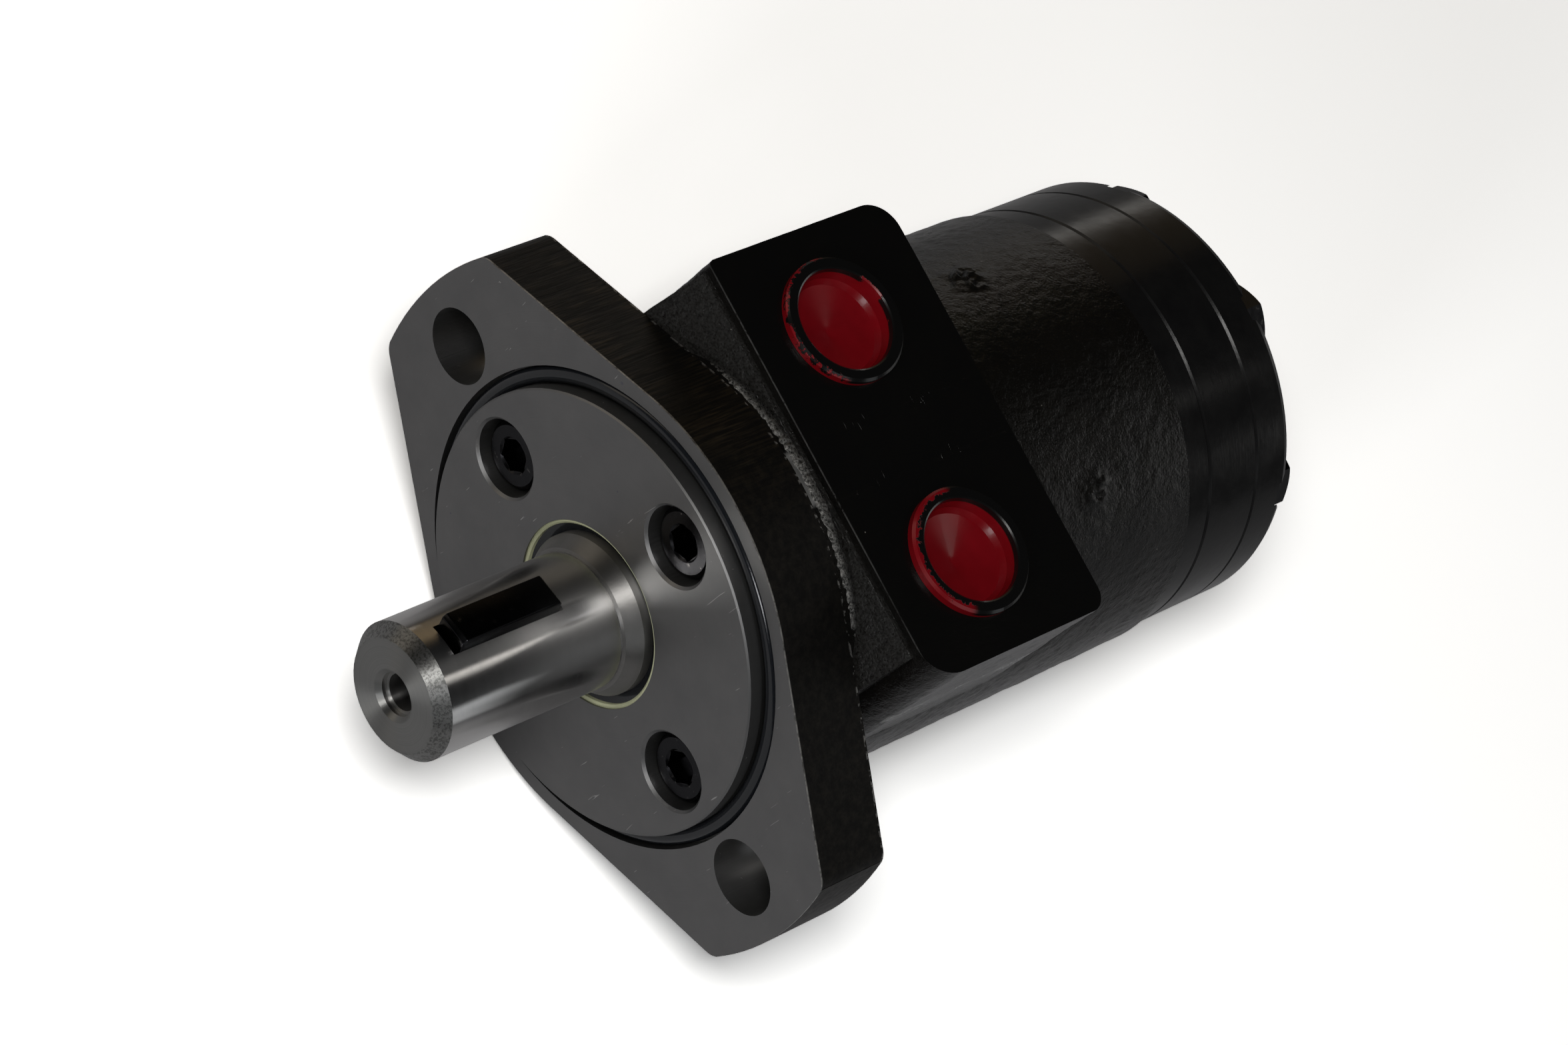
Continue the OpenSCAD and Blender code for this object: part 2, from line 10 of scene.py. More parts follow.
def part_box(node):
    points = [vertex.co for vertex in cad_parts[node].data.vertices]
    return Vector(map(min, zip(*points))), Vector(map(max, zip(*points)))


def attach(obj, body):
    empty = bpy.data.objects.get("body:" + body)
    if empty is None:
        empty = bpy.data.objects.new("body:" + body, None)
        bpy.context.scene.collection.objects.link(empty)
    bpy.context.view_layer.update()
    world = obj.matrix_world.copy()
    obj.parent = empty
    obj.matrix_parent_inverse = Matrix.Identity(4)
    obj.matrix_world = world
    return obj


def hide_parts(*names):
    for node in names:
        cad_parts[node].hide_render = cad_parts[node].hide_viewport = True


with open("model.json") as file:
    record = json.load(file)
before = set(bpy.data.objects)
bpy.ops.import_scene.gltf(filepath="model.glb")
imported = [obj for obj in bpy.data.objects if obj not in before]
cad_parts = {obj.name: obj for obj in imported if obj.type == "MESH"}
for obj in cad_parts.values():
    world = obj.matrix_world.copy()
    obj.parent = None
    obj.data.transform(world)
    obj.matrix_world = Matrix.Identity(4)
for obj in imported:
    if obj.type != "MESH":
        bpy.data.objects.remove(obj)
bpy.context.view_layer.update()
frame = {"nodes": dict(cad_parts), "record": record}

MM = 0.001
NODES = frame["nodes"]


# ---------------------------------------------------------------- sizes

def mount(name):
    """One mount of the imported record."""
    return next(m for m in frame["record"]["mounts"] if m["name"] == name)


BOLT_X = mount("flange_bolts")["dims"]["spacing_x_mm"] * MM / 2
BOLT_R = mount("flange_bolts")["dims"]["hole_r_mm"] * MM
SHAFT_R = mount("keyed_shaft")["dims"]["r_mm"] * MM
PORT_X = mount("port_b")["pos_m"][0]
PORT_Y = mount("port_b")["pos_m"][1]
FLANGE_LOW, FLANGE_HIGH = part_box("mounting_flange")
HOUSING_LOW, HOUSING_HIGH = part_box("housing")
CAP_LOW, CAP_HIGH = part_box("end_cap")
PAD_TOP = HOUSING_HIGH.z

# sizes of the CAD model that the frame doesn't hold
FLANGE_INNER = 45.5 * MM  # the pilot, the groove and the bore of the flange lie inside this radius
PAD_HALF = 41.3 * MM      # half the length of the port block, along x
PAD_START = 21.2 * MM     # near face of the port block, along y
BODY_R = 42.7 * MM        # round body of the housing
BORE_LIMIT = 41 * MM      # every bore of the housing lies inside this radius
PORT_LIMIT = 12 * MM      # every wall of a port lies inside this radius
RIM_R = 46.3 * MM         # round rim behind the flange
RIM_END = 18.9 * MM       # rear edge of the rim, along y
PLUG_RIM_R = 9.3 * MM     # inner edge of the paint on a transit plug's lip


# ---------------------------------------------------------------- camera, light and floor

CAMERA_PLACE = Vector((0.1031, -0.4834, 0.6528))
CAMERA_LOOK = Vector((-0.1237, 0.6251, -0.7707))
CAMERA_UP = Vector((-0.8731, 0.3005, 0.3839))
CAMERA_LENS = 107.14
CAMERA_SENSOR = 36

# name, direction from the motor, distance, width and height, radiance, colour
PANELS = [
    ("key_panel", (0.05, -0.62, 0.95), 1.1, (0.27, 0.27), 27, (1, 0.99, 0.97)),
    ("front_panel", (0.3, -0.95, 0.33), 1.2, (0.25, 0.25), 10, (0.97, 0.98, 1)),
    ("band_panel", (0.27, 0.56, 0.78), 1.3, (0.09, 0.5), 2.2, (1, 0.97, 0.92)),
    ("back_panel", (0.9, 0.55, 0.2), 1.3, (0.3, 0.5), 0.8, (0.95, 0.98, 1)),
    ("warm_panel", (-0.73, 0.6, 0.3), 1.1, (0.6, 0.6), 0.2, (1, 0.74, 0.42)),
    ("left_panel", (-0.85, -0.45, 0.2), 1.2, (0.7, 0.7), 0.75, (1, 0.9, 0.75)),
    ("right_panel", (1, -0.3, 0.5), 1.2, (0.7, 0.7), 0.8, (0.95, 0.98, 1)),
    ("rear_panel", (0.35, 1, 0.22), 1.2, (0.8, 0.4), 1.3, (1, 0.99, 0.97)),
    ("rear_left_panel", (-0.8, 0.8, -0.02), 1.2, (0.5, 0.25), 2.2, (1, 0.97, 0.92)),
]
PANEL_TARGET = Vector((0, 40 * MM, 0))

# the surround looks white to the camera and gives the motor less light than it shows
WORLD_LIGHT = (0.9, 0.95, 1, 1)
WORLD_LIGHT_STRENGTH = 0.01
WORLD_SEEN = (1, 1, 1, 1)
FLOOR_LIGHT = (0.52, 0.52, 0.535, 1)
FLOOR_SEEN = (2.15, 2.15, 2.15, 1)
FLOOR_HALF = 6


def add_camera():
    """The camera stands in front of the shaft, above the port side, rolled so the shaft points left."""
    look = CAMERA_LOOK.normalized()
    right = look.cross(CAMERA_UP).normalized()
    up = right.cross(look)
    data = bpy.data.cameras.new("camera")
    data.sensor_width = CAMERA_SENSOR
    data.lens = CAMERA_LENS
    data.clip_start = 0.01
    data.clip_end = 50
    camera = bpy.data.objects.new("camera", data)
    bpy.context.scene.collection.objects.link(camera)
    turn = Matrix((right, up, -look)).transposed().to_4x4()
    camera.matrix_world = Matrix.Translation(CAMERA_PLACE) @ turn
    bpy.context.scene.camera = camera


def add_panel(name, direction, distance, size, radiance, colour):
    """A soft rectangular light panel that faces the middle of the motor."""
    data = bpy.data.lights.new(name, "AREA")
    data.shape = "RECTANGLE"
    data.size, data.size_y = size
    data.energy = radiance * math.pi * size[0] * size[1]
    data.color = colour
    light = bpy.data.objects.new(name, data)
    bpy.context.scene.collection.objects.link(light)
    away = Vector(direction).normalized()
    turn = away.to_track_quat("Z", "Y").to_matrix().to_4x4()
    light.matrix_world = Matrix.Translation(PANEL_TARGET + distance * away) @ turn


def add_lights():
    """Soft studio light: a key panel over the shaft end and dim panels on every side."""
    for panel in PANELS:
        add_panel(*panel)


def add_world():
    """A dim world that the camera sees as white."""
    world = bpy.data.worlds.new("studio")
    bpy.context.scene.world = world
    world.use_nodes = True
    tree = world.node_tree
    tree.nodes.clear()
    out = tree.nodes.new("ShaderNodeOutputWorld")
    dim = tree.nodes.new("ShaderNodeBackground")
    dim.inputs["Color"].default_value = WORLD_LIGHT
    dim.inputs["Strength"].default_value = WORLD_LIGHT_STRENGTH
    pale = tree.nodes.new("ShaderNodeBackground")
    pale.inputs["Color"].default_value = WORLD_SEEN
    pale.inputs["Strength"].default_value = 1
    path = tree.nodes.new("ShaderNodeLightPath")
    pick = tree.nodes.new("ShaderNodeMixShader")
    tree.links.new(path.outputs["Is Camera Ray"], pick.inputs["Fac"])
    tree.links.new(dim.outputs[0], pick.inputs[1])
    tree.links.new(pale.outputs[0], pick.inputs[2])
    tree.links.new(pick.outputs[0], out.inputs["Surface"])
    bpy.context.scene.view_settings.view_transform = "Standard"


def floor_material():
    """Matt pale paint that the camera sees brighter than the motor does."""
    material = bpy.data.materials.new("floor")
    material.use_nodes = True
    tree = material.node_tree
    tree.nodes.clear()
    out = tree.nodes.new("ShaderNodeOutputMaterial")
    matt = tree.nodes.new("ShaderNodeBsdfDiffuse")
    path = tree.nodes.new("ShaderNodeLightPath")
    tone = tree.nodes.new("ShaderNodeMix")
    tone.data_type = "RGBA"
    tone.inputs["A"].default_value = FLOOR_LIGHT
    tone.inputs["B"].default_value = FLOOR_SEEN
    tree.links.new(path.outputs["Is Camera Ray"], tone.inputs["Factor"])
    tree.links.new(tone.outputs["Result"], matt.inputs["Color"])
    tree.links.new(matt.outputs[0], out.inputs["Surface"])
    return material


def add_floor():
    """A plain pale floor that touches the round flange and the rim of the end cap."""
    front = Vector((0, FLANGE_HIGH.y, FLANGE_LOW.z))
    rear = Vector((0, CAP_HIGH.y - 1 * MM, CAP_LOW.z))
    mesh = bmesh.new()
    bmesh.ops.create_grid(mesh, x_segments=1, y_segments=1, size=FLOOR_HALF)
    data = bpy.data.meshes.new("floor")
    mesh.to_mesh(data)
    mesh.free()
    data.materials.append(floor_material())
    floor = bpy.data.objects.new("floor", data)
    bpy.context.scene.collection.objects.link(floor)
    along = (rear - front).normalized()
    floor.rotation_euler = (math.asin(along.z), 0, 0)
    floor.location = front


# ---------------------------------------------------------------- material building blocks

class Surface:
    """A principled material with short calls for the nodes that drive it."""

    def __init__(self, name, metallic, **constants):
        self.material = bpy.data.materials.new(name)
        self.material.use_nodes = True
        self.tree = self.material.node_tree
        self.shader = self.tree.nodes["Principled BSDF"]
        self.shader.inputs["Metallic"].default_value = metallic
        for socket, value in constants.items():
            self.shader.inputs[socket.replace("_", " ")].default_value = value
        place = self.tree.nodes.new("ShaderNodeTexCoord")
        self.place = place.outputs["Object"]
        self.x, self.y, self.z = self.parts(self.place)
        self.facing = self.parts(place.outputs["Normal"])

    def give(self, socket, value):
        """Link a socket, or set it where the value is a constant."""
        if isinstance(value, bpy.types.NodeSocket):
            self.tree.links.new(value, socket)
        elif isinstance(value, tuple) and len(value) == 3 and socket.type == "RGBA":
            socket.default_value = (*value, 1)
        else:
            socket.default_value = value

    def parts(self, vector):
        """The three numbers of a vector."""
        node = self.tree.nodes.new("ShaderNodeSeparateXYZ")
        self.give(node.inputs[0], vector)
        return node.outputs[0], node.outputs[1], node.outputs[2]

    def join(self, x, y, z):
        """A vector made from three numbers."""
        node = self.tree.nodes.new("ShaderNodeCombineXYZ")
        for socket, value in zip(node.inputs, (x, y, z)):
            self.give(socket, value)
        return node.outputs[0]

    def math(self, operation, a, b=0.0, c=0.0):
        """One step of arithmetic."""
        node = self.tree.nodes.new("ShaderNodeMath")
        node.operation = operation
        for socket, value in zip(node.inputs, (a, b, c)):
            self.give(socket, value)
        return node.outputs[0]

    def times(self, a, b):
        """The product of two numbers, which also joins two masks."""
        return self.math("MULTIPLY", a, b)

    def length(self, a, b):
        """Distance from the origin in a plane."""
        return self.math("SQRT", self.math("ADD", self.times(a, a), self.times(b, b)))

    def fade(self, value, start, end, low=0.0, high=1.0):
        """A smooth step from low at start to high at end."""
        node = self.tree.nodes.new("ShaderNodeMapRange")
        node.interpolation_type = "SMOOTHSTEP"
        if start > end:
            start, end, low, high = end, start, high, low
        for socket, number in zip(node.inputs, (value, start, end, low, high)):
            self.give(socket, number)
        return node.outputs[0]

    def stretch(self, sx, sy, sz):
        """The place scaled along each axis, for streaks."""
        node = self.tree.nodes.new("ShaderNodeMapping")
        self.give(node.inputs["Vector"], self.place)
        node.inputs["Scale"].default_value = (sx, sy, sz)
        return node.outputs[0]

    def grain(self, size, detail=3.0, roughness=0.55, where=None, distortion=0.0):
        """Noise from 0 to 1 whose features are about size metres across."""
        node = self.tree.nodes.new("ShaderNodeTexNoise")
        self.give(node.inputs["Vector"], self.place if where is None else where)
        node.inputs["Scale"].default_value = 1 / size
        node.inputs["Detail"].default_value = detail
        node.inputs["Roughness"].default_value = roughness
        node.inputs["Distortion"].default_value = distortion
        return node.outputs["Fac"]

    def specks(self, size, reach):
        """Round specks, 1 at the middle of each and 0 outside its reach, in cells of that size."""
        node = self.tree.nodes.new("ShaderNodeTexVoronoi")
        self.give(node.inputs["Vector"], self.place)
        node.inputs["Scale"].default_value = 1 / size
        return self.fade(node.outputs["Distance"], reach, 0.5 * reach)

    def mix(self, factor, a, b):
        """Colour a where the factor is 0 and colour b where it is 1."""
        node = self.tree.nodes.new("ShaderNodeMix")
        node.data_type = "RGBA"
        self.give(node.inputs["Factor"], factor)
        self.give(node.inputs["A"], a)
        self.give(node.inputs["B"], b)
        return node.outputs["Result"]

    def blend(self, factor, a, b):
        """Number a where the factor is 0 and number b where it is 1."""
        node = self.tree.nodes.new("ShaderNodeMix")
        self.give(node.inputs["Factor"], factor)
        self.give(node.inputs["A"], a)
        self.give(node.inputs["B"], b)
        return node.outputs["Result"]

    def finish(self, colour, roughness, height=None, depth=0.0, metallic=None):
        """Drive colour and roughness, and raise the surface by height times depth."""
        self.give(self.shader.inputs["Base Color"], colour)
        self.give(self.shader.inputs["Roughness"], roughness)
        if metallic is not None:
            self.give(self.shader.inputs["Metallic"], metallic)
        if height is not None:
            bump = self.tree.nodes.new("ShaderNodeBump")
            bump.inputs["Strength"].default_value = 1
            bump.inputs["Distance"].default_value = depth
            self.give(bump.inputs["Height"], height)
            self.tree.links.new(bump.outputs[0], self.shader.inputs["Normal"])
        return self.material


# ---------------------------------------------------------------- materials

def flange_iron():
    """Machined grey iron in front and in the bores, dark sawn and pitted iron round the outside, with a
    painted brown highlight on its upper side.
    """
    s = Surface("flange_iron", 1.0)
    radius = s.length(s.x, s.z)
    front = s.fade(s.facing[1], -0.6, -0.8)
    bolt = s.length(s.math("SUBTRACT", s.math("ABSOLUTE", s.x), BOLT_X), s.z)
    bolt_wall = s.fade(bolt, BOLT_R + 0.5 * MM, BOLT_R + 0.3 * MM)
    inner = s.math("MAXIMUM", s.fade(radius, FLANGE_INNER + 0.1 * MM, FLANGE_INNER - 0.1 * MM), bolt_wall)
    machined = s.math("MAXIMUM", front, inner)
    # turning marks round the axis, scratches and bluish specks on the machined faces
    turned = s.grain(0.25 * MM, 2, 0.5, s.join(radius, 0.0, 0.0))
    clouds = s.grain(9 * MM, 4, 0.6)
    scratch = s.fade(s.grain(1 * MM, 2, 0.5, s.stretch(1.6, 1, 0.12), 1.5), 0.735, 0.76)
    blue = s.times(s.specks(7 * MM, 0.07), s.fade(s.grain(16 * MM), 0.5, 0.6))
    face = s.mix(clouds, (0.145, 0.145, 0.147), (0.215, 0.212, 0.208))
    face = s.mix(s.times(turned, 0.25), face, (0.31, 0.31, 0.31))
    face = s.mix(s.times(scratch, 0.5), face, (0.75, 0.74, 0.72))
    face = s.mix(blue, face, (0.02, 0.03, 0.12))
    # fine saw streaks across the thickness at the upper side, shallow pits at the lower side
    streak = s.grain(0.5 * MM, 4, 0.6, s.stretch(1, 0.06, 1))
    pits = s.grain(1.6 * MM, 4, 0.65)
    upper = s.fade(s.x, 10 * MM, -18 * MM)
    marks = s.blend(upper, pits, streak)
    # painted highlight: lighter brown patches on the upper side of the outside, standing in for light
    # falling there
    painted_highlight = s.times(upper, s.fade(s.grain(14 * MM, 2), 0.4, 0.65))
    side = s.mix(s.fade(marks, 0.3, 0.8), (0.016, 0.0155, 0.015), (0.034, 0.031, 0.027))
    side = s.mix(s.times(painted_highlight, s.fade(marks, 0.42, 0.7)), side, (0.075, 0.06, 0.04))
    # both edges of the flange's outside are worn bright, but not its rear face; the bright line along the
    # front edge is partly wear and partly a painted edge highlight
    chipped = s.fade(s.grain(2.2 * MM, 4, 0.75), 0.32, 0.6, 0.25, 1.0)
    worn_edge_and_highlight = s.times(s.fade(s.y, 0.45 * MM, 0.2 * MM), chipped)
    rear = s.fade(s.facing[1], 0.5, 0.8)
    worn_rear = s.times(s.fade(s.y, 14.4 * MM, 14.8 * MM), s.fade(s.grain(1.1 * MM, 3), 0.52, 0.62))
    worn_rear = s.times(worn_rear, s.math("SUBTRACT", 1.0, rear))
    side = s.mix(s.math("MAXIMUM", worn_edge_and_highlight, s.times(worn_rear, 0.6)), side, (0.5, 0.49, 0.47))
    colour = s.mix(machined, side, face)
    roughness = s.blend(machined, s.blend(marks, 0.6, 0.45), s.blend(turned, 0.36, 0.5))
    height = s.blend(machined, s.times(marks, s.blend(upper, 1.6, 2.6)), s.times(turned, 0.25))
    return s.finish(colour, roughness, height, 0.05 * MM)


def housing_paint():
    """Gloss black paint over rough sand-cast iron, smooth on the port face, worn bright in two places."""
    s = Surface("housing_paint", 0.0, Specular_IOR_Level=0.21)
    top = s.times(s.fade(s.facing[2], 0.9, 0.98), s.fade(s.z, PAD_TOP - 0.5 * MM, PAD_TOP - 0.2 * MM))
    sand = s.grain(0.8 * MM, 4, 0.6)
    lumps = s.grain(6 * MM, 3, 0.5)
    fine = s.grain(0.45 * MM, 3, 0.6)
    dust = s.times(s.specks(5 * MM, 0.04), s.fade(s.grain(12 * MM), 0.52, 0.62))
    # thin worn line along the near edge of the port face
    near_edge = s.times(s.fade(s.y, PAD_START + 0.4 * MM, PAD_START + 0.15 * MM),
                        s.fade(s.z, PAD_TOP - 0.35 * MM, PAD_TOP - 0.1 * MM))
    near_edge = s.times(near_edge, s.fade(s.grain(1.6 * MM, 4, 0.8), 0.34, 0.5))
    # scraped grey strip across the short side of the port block
    below = s.math("ABSOLUTE", s.math("SUBTRACT", s.z, PAD_TOP - 23 * MM))
    outermost = s.fade(s.x, PAD_HALF - 0.5 * MM, PAD_HALF - 0.3 * MM)
    short_side = s.times(s.fade(s.facing[0], 0.8, 0.95), outermost)
    scraped = s.fade(s.grain(2.5 * MM, 4, 0.7, s.stretch(1, 0.3, 1)), 0.42, 0.6)
    strip = s.times(s.times(short_side, s.fade(below, 5 * MM, 2 * MM)), scraped)
    # the cast shoulder in front of the block is greyer than the rest, in a fine grain, where it faces
    # forward
    ahead = s.fade(s.y, PAD_START + 0.1 * MM, PAD_START - 0.6 * MM)
    shoulder = s.times(ahead, s.fade(s.facing[1], 0.0, -0.3))
    bare = s.math("MAXIMUM", near_edge, s.times(strip, 0.45))
    cast = s.mix(lumps, (0.0025, 0.0025, 0.0025), (0.006, 0.0053, 0.0042))
    cast = s.mix(s.times(shoulder, s.fade(fine, 0.25, 0.75)), cast, (0.021, 0.0205, 0.0195))
    colour = s.mix(top, cast, (0.003, 0.003, 0.003))
    colour = s.mix(s.times(dust, 0.5), colour, (0.35, 0.33, 0.3))
    colour = s.mix(bare, colour, (0.45, 0.45, 0.44))
    roughness = s.blend(top, s.blend(sand, 0.14, 0.28), 0.24)
    roughness = s.blend(bare, roughness, 0.35)
    relief = s.math("ADD", s.times(sand, 2.8), s.times(fine, 2.2))
    height = s.blend(top, relief, s.times(fine, 0.05))
    return s.finish(colour, roughness, height, 0.05 * MM, s.times(bare, 0.9))


def bare_grain_and_glints():
    """Grains of bare cast iron where the paint is worn off the rim's edge, the bright ones painted as
    glints.
    """
    s = Surface("bare_grain_and_glints", 1.0)
    grains = s.grain(0.5 * MM, 4, 0.75)
    # painted glints: grains above a noise level are coloured bright, the rest near black
    painted_glints = s.fade(grains, 0.36, 0.62)
    colour = s.mix(painted_glints, (0.02, 0.02, 0.019), (0.23, 0.226, 0.217))
    return s.finish(colour, s.blend(painted_glints, 0.6, 0.45), grains, 0.2 * MM)


def ring_paint():
    """Gloss black paint over turned steel, with a faint orange-peel skin."""
    s = Surface("ring_paint", 0.0, Specular_IOR_Level=0.18)
    peel = s.grain(1.8 * MM, 3, 0.5)
    mottle = s.grain(5 * MM, 4, 0.65)
    turned = s.grain(0.5 * MM, 2, 0.5, s.stretch(0.04, 1, 0.04))
    colour = s.mix(mottle, (0.004, 0.004, 0.0045), (0.01, 0.0098, 0.0095))
    roughness = s.blend(mottle, 0.14, 0.3)
    height = s.math("ADD", peel, s.times(turned, 0.35))
    return s.finish(colour, roughness, height, 0.02 * MM)


def ground_steel():
    """Bright ground steel with fine marks round the shaft, matt on the sawn end face and the shoulder."""
    s = Surface("ground_steel", 1.0, Anisotropic=0.85, Anisotropic_Rotation=0.25)
    tangent = s.tree.nodes.new("ShaderNodeTangent")
    tangent.direction_type = "RADIAL"
    tangent.axis = "Y"
    s.give(s.shader.inputs["Tangent"], tangent.outputs[0])
    lines = s.grain(0.2 * MM, 3, 0.6, s.stretch(0.02, 1, 0.02))
    clouds = s.grain(7 * MM, 4, 0.6)
    end = s.fade(s.facing[1], -0.2, -0.4)
    radius = s.length(s.x, s.z)
    rings = s.grain(0.3 * MM, 2, 0.5, s.join(radius, 0.0, 0.0))
    crumbs = s.grain(0.5 * MM, 3, 0.7)
    corner = s.times(end, s.fade(radius, SHAFT_R - 2.6 * MM, SHAFT_R - 2.0 * MM))
    shoulder = s.fade(s.y, -6.4 * MM, -5.8 * MM)
    colour = s.mix(clouds, (0.56, 0.55, 0.54), (0.66, 0.65, 0.64))
    colour = s.mix(s.times(s.fade(lines, 0.62, 0.75), 0.1), colour, (0.35, 0.34, 0.33))
    colour = s.mix(end, colour, s.mix(rings, (0.22, 0.22, 0.215), (0.3, 0.3, 0.29)))
    colour = s.mix(s.times(corner, s.fade(crumbs, 0.45, 0.6)), colour, (0.14, 0.14, 0.135))
    colour = s.mix(shoulder, colour, s.mix(clouds, (0.16, 0.16, 0.155), (0.3, 0.29, 0.28)))
    matt = s.math("MAXIMUM", end, shoulder)
    roughness = s.blend(matt, s.blend(lines, 0.17, 0.26), 0.46)
    height = s.blend(end, s.times(lines, 0.07), s.math("ADD", s.times(rings, 1.5), s.times(crumbs, 2.0)))
    return s.finish(colour, roughness, height, 0.006 * MM)


def hard_steel():
    """Ground hardened steel of the rotor set and the drive link."""
    s = Surface("hard_steel", 1.0)
    marks = s.grain(0.35 * MM, 3, 0.6, s.stretch(1, 0.15, 1))
    colour = s.mix(marks, (0.5, 0.5, 0.51), (0.62, 0.62, 0.63))
    return s.finish(colour, s.blend(marks, 0.2, 0.34), marks, 0.008 * MM)


def bearing_steel():
    """Polished bearing steel with a trace of oil."""
    s = Surface("bearing_steel", 1.0)
    film = s.grain(3 * MM, 3, 0.5)
    colour = s.mix(film, (0.6, 0.6, 0.62), (0.68, 0.67, 0.66))
    return s.finish(colour, s.blend(film, 0.1, 0.24), film, 0.004 * MM)


def black_steel():
    """Black oxide with a few rubbed spots."""
    s = Surface("black_steel", 1.0)
    patches = s.grain(1.6 * MM, 4, 0.65)
    rubbed = s.fade(patches, 0.62, 0.74)
    colour = s.mix(rubbed, (0.022, 0.022, 0.024), (0.13, 0.125, 0.12))
    return s.finish(colour, s.blend(patches, 0.16, 0.32), patches, 0.02 * MM)


def black_rubber():
    """Oiled black rubber."""
    s = Surface("black_rubber", 0.0)
    skin = s.grain(0.5 * MM, 3, 0.6)
    colour = s.mix(skin, (0.005, 0.006, 0.008), (0.01, 0.011, 0.013))
    return s.finish(colour, s.blend(skin, 0.1, 0.2), skin, 0.004 * MM)


def seal_band():
    """Pale yellow-green moulded ring."""
    s = Surface("seal_band", 0.0)
    stain = s.grain(2.5 * MM, 4, 0.7)
    colour = s.mix(stain, (0.52, 0.54, 0.34), (0.4, 0.41, 0.27))
    return s.finish(colour, 0.45, stain, 0.01 * MM)


def red_plastic(name, x, flake_start, chips):
    """Glossy red moulded plug whose lip is overpainted black.

    The paint is flaked off outside the radius flake_start on the near side. It is also chipped off
    the inner rim at the angles in chips, which are in degrees.
    """
    s = Surface(name, 0.0, Coat_Weight=0.1, Coat_Roughness=0.06, Specular_IOR_Level=0.3)
    across = s.math("SUBTRACT", s.x, x)
    along = s.math("SUBTRACT", s.y, PORT_Y)
    radius = s.length(across, along)
    flow = s.grain(4 * MM, 3, 0.5)
    torn = s.math("SUBTRACT", s.grain(1.5 * MM, 5, 0.7), 0.5)
    ragged = s.math("ADD", radius, s.times(torn, 4.2 * MM))
    edge = s.math("ADD", radius, s.times(torn, 0.9 * MM))
    raised = s.fade(s.z, PAD_TOP + 0.2 * MM, PAD_TOP + 0.5 * MM)
    lip = s.times(s.fade(edge, PLUG_RIM_R, PLUG_RIM_R + 0.1 * MM), raised)
    toward_flange = s.math("ADD", s.times(along, -1.0), s.times(across, -0.35))
    near_side = s.fade(toward_flange, 1.5 * MM, 3.5 * MM)
    flakes = s.times(near_side, s.fade(ragged, flake_start, flake_start + 0.12 * MM))
    for angle in chips:
        turn = math.radians(angle)
        ahead = s.math("ADD", s.times(across, math.cos(turn)), s.times(along, math.sin(turn)))
        wedge = s.fade(s.math("SUBTRACT", ahead, s.times(edge, 0.97)), -0.05 * MM, 0.05 * MM)
        chip = s.times(wedge, s.fade(edge, PLUG_RIM_R + 0.7 * MM, PLUG_RIM_R + 0.6 * MM))
        flakes = s.math("MAXIMUM", flakes, chip)
    paint = s.times(lip, s.math("SUBTRACT", 1.0, flakes))
    red = s.mix(flow, (0.13, 0.0015, 0.004), (0.2, 0.003, 0.007))
    colour = s.mix(paint, red, (0.004, 0.004, 0.004))
    height = s.math("ADD", s.times(flow, 0.4), paint)
    return s.finish(colour, s.blend(paint, 0.26, 0.22), height, 0.04 * MM)


# node, middle along x, flake_start, chips
PLUGS = [
    ("port_plug_a", -PORT_X, 11.7 * MM, (112,)),
    ("port_plug_b", PORT_X, 10.9 * MM, ()),
]


def paint_nodes():
    """Each CAD node gets the material of its record slot, and each plug its own. Returns those by slot."""
    made = {
        "flange_iron": flange_iron(), "housing_paint": housing_paint(), "ring_paint": ring_paint(),
        "ground_steel": ground_steel(), "hard_steel": hard_steel(), "bearing_steel": bearing_steel(),
        "black_steel": black_steel(), "black_rubber": black_rubber(), "seal_band": seal_band(),
    }
    for part in frame["record"]["subparts"]:
        if part["material_slot"] in made:
            for slot in NODES[part["node"]].material_slots:
                slot.material = made[part["material_slot"]]
    for node, x, flake_start, chips in PLUGS:
        material = red_plastic("red_plastic_" + node[-1], x, flake_start, chips)
        for slot in NODES[node].material_slots:
            slot.material = material
    return made


# ---------------------------------------------------------------- pieces that replace or dress CAD nodes

def new_piece(name, mesh, body, material):
    """An object made from a bmesh, riding on a body."""
    data = bpy.data.meshes.new(name)
    mesh.to_mesh(data)
    mesh.free()
    data.materials.append(material)
    piece = bpy.data.objects.new(name, data)
    bpy.context.scene.collection.objects.link(piece)
    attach(piece, body)
    return piece


MERGE = 0.001 * MM        # points closer than this are one point
SKIN = 0.1 * MM           # a face this close to a machined plane belongs to it
LONGEST_EDGE = 1.25 * MM  # on the cast skin
FADE_OUT = 1.5 * MM       # the cast skin sinks to nothing over this distance from a machined plane
BLEMISHES = [(125, 82 * MM, 3.2 * MM, 0.7 * MM), (61, 83 * MM, 2.6 * MM, 0.6 * MM)]  # angle, y, size, height
CAST_BREAK = 38           # degrees between two cast faces that meet in a sharp edge
KEY_BREAK = 30            # the same for the key


def is_cast(face):
    """True for the outside of the housing as cast, false for the port face, the two ends and the bores."""
    middle = face.calc_center_median()
    on_port_face = middle.z > PAD_TOP - SKIN
    on_rear_end = face.normal.y > 0.99 and middle.y > HOUSING_HIGH.y - SKIN
    on_front_end = middle.y < HOUSING_LOW.y + SKIN
    in_bore = math.hypot(middle.x, middle.z) < BORE_LIMIT
    in_port = middle.z >= 0 and math.hypot(abs(middle.x) - PORT_X, middle.y - PORT_Y) <= PORT_LIMIT
    return not (on_port_face or on_rear_end or on_front_end or in_bore or in_port)


def lump(place, angle, y, size):
    """A cast blemish on the round body: 1 at its middle and 0 well outside it."""
    middle = Vector((BODY_R * math.cos(math.radians(angle)), y, BODY_R * math.sin(math.radians(angle))))
    return math.exp(-((place - middle).length / size) ** 2)


